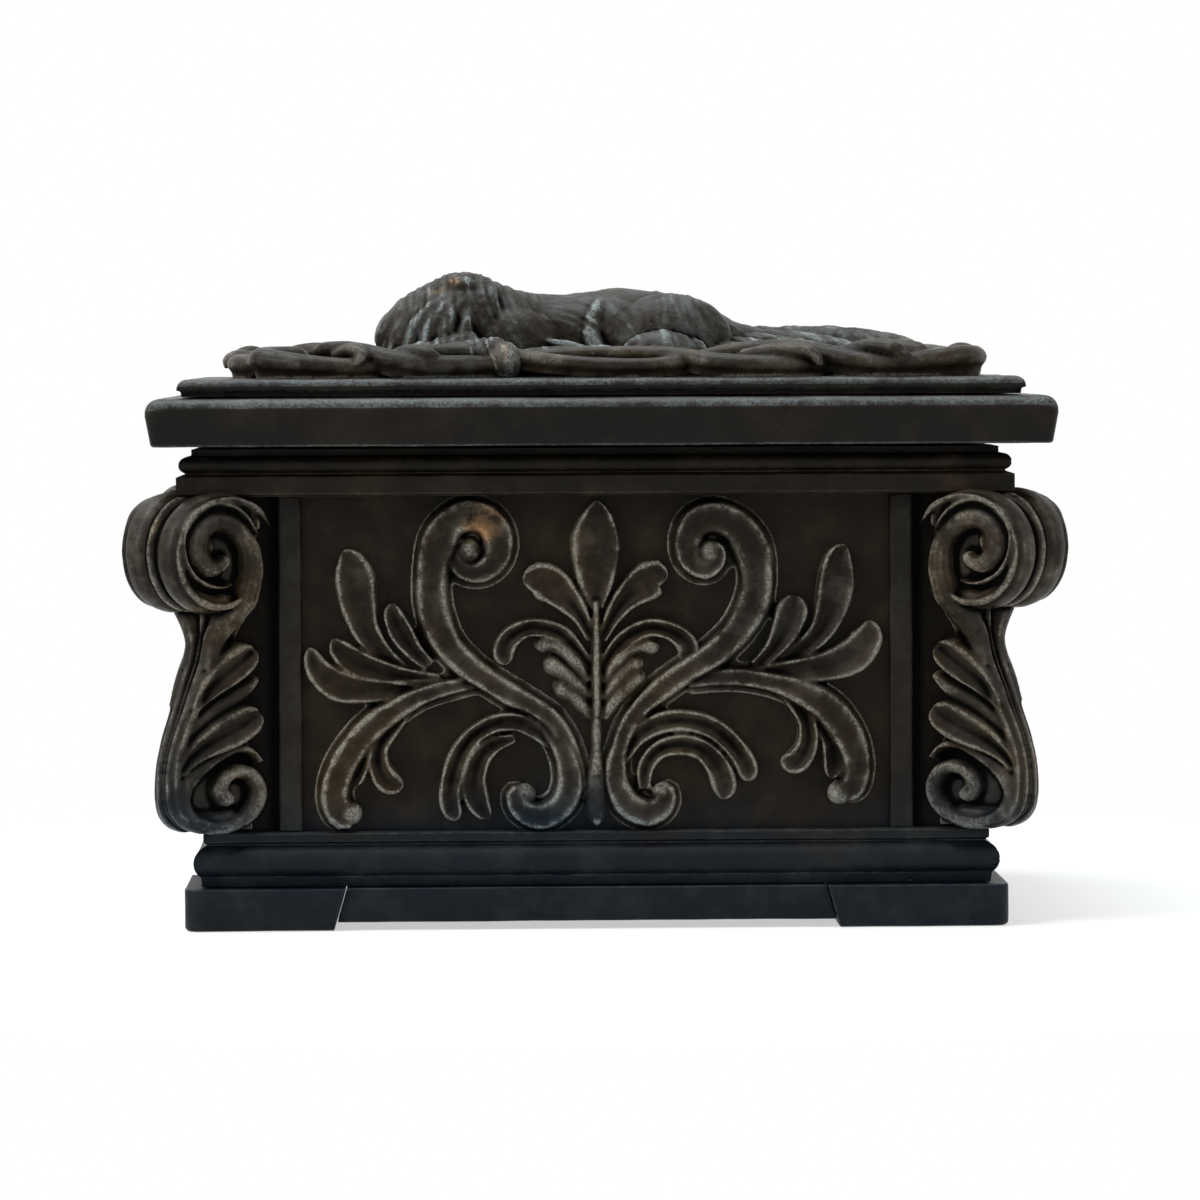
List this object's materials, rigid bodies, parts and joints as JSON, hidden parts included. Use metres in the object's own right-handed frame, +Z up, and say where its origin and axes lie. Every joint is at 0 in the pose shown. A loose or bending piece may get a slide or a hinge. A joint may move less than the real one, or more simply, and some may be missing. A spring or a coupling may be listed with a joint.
{
  "type": "keepsake casket",
  "caption": "Footed rectangular keepsake casket with a stepped lift-off lid, a recumbent beast in relief on top, corner S-scroll consoles and scroll-and-palmette fields.",
  "frame": {"origin": "on the ground under the middle of the casket", "axes": "+X along the long front to the right, +Y to the back, +Z up"},
  "size_m": [0.154, 0.113, 0.1079],
  "materials": {
    "bronzed_composition": "satin",
    "slate_composition": "satin",
    "rubbed_carving": "satin",
    "rubbed_relief": "satin",
    "felt": "matt"
  },
  "bodies": {
    "box": {"apron_back": "slate_composition", "apron_front": "slate_composition", "apron_left": "slate_composition", "apron_right": "slate_composition", "base_moulding_back": "slate_composition", "base_moulding_front": "slate_composition", "base_moulding_left": "slate_composition", "base_moulding_right": "slate_composition", "bottom_board": "bronzed_composition", "console_back_left": "rubbed_carving", "console_back_right": "rubbed_carving", "console_front_left": "rubbed_carving", "console_front_right": "rubbed_carving", "felt_back": "felt", "felt_floor": "felt", "felt_front": "felt", "felt_left": "felt", "felt_right": "felt", "foot_back_left": "slate_composition", "foot_back_right": "slate_composition", "foot_front_left": "slate_composition", "foot_front_right": "slate_composition", "neck_moulding_back": "bronzed_composition", "neck_moulding_front": "bronzed_composition", "neck_moulding_left": "bronzed_composition", "neck_moulding_right": "bronzed_composition", "palmette_back": "rubbed_carving", "palmette_front": "rubbed_carving", "palmette_left": "rubbed_carving", "palmette_right": "rubbed_carving", "scroll_back_left": "rubbed_carving", "scroll_back_right": "rubbed_carving", "scroll_front_left": "rubbed_carving", "scroll_front_right": "rubbed_carving", "scroll_left_left": "rubbed_carving", "scroll_left_right": "rubbed_carving", "scroll_right_left": "rubbed_carving", "scroll_right_right": "rubbed_carving", "stiles_back": "rubbed_carving", "stiles_front": "rubbed_carving", "stiles_left": "rubbed_carving", "stiles_right": "rubbed_carving", "wall_back": "bronzed_composition", "wall_front": "bronzed_composition", "wall_left": "bronzed_composition", "wall_right": "bronzed_composition"},
    "lid": {"lid_felt": "felt", "lid_figure": "rubbed_relief", "lid_locating_rim": "bronzed_composition", "lid_ribbon_back": "rubbed_relief", "lid_ribbon_front": "rubbed_relief", "lid_ribbon_left": "rubbed_relief", "lid_ribbon_right": "rubbed_relief", "lid_slab": "bronzed_composition", "lid_step": "bronzed_composition"}
  },
  "joints": [
    {"name": "lid_lift", "type": "slide", "parent": "box", "child": "lid", "axis": [0, 0, 1], "range_m": [0, 0.08]}
  ]
}
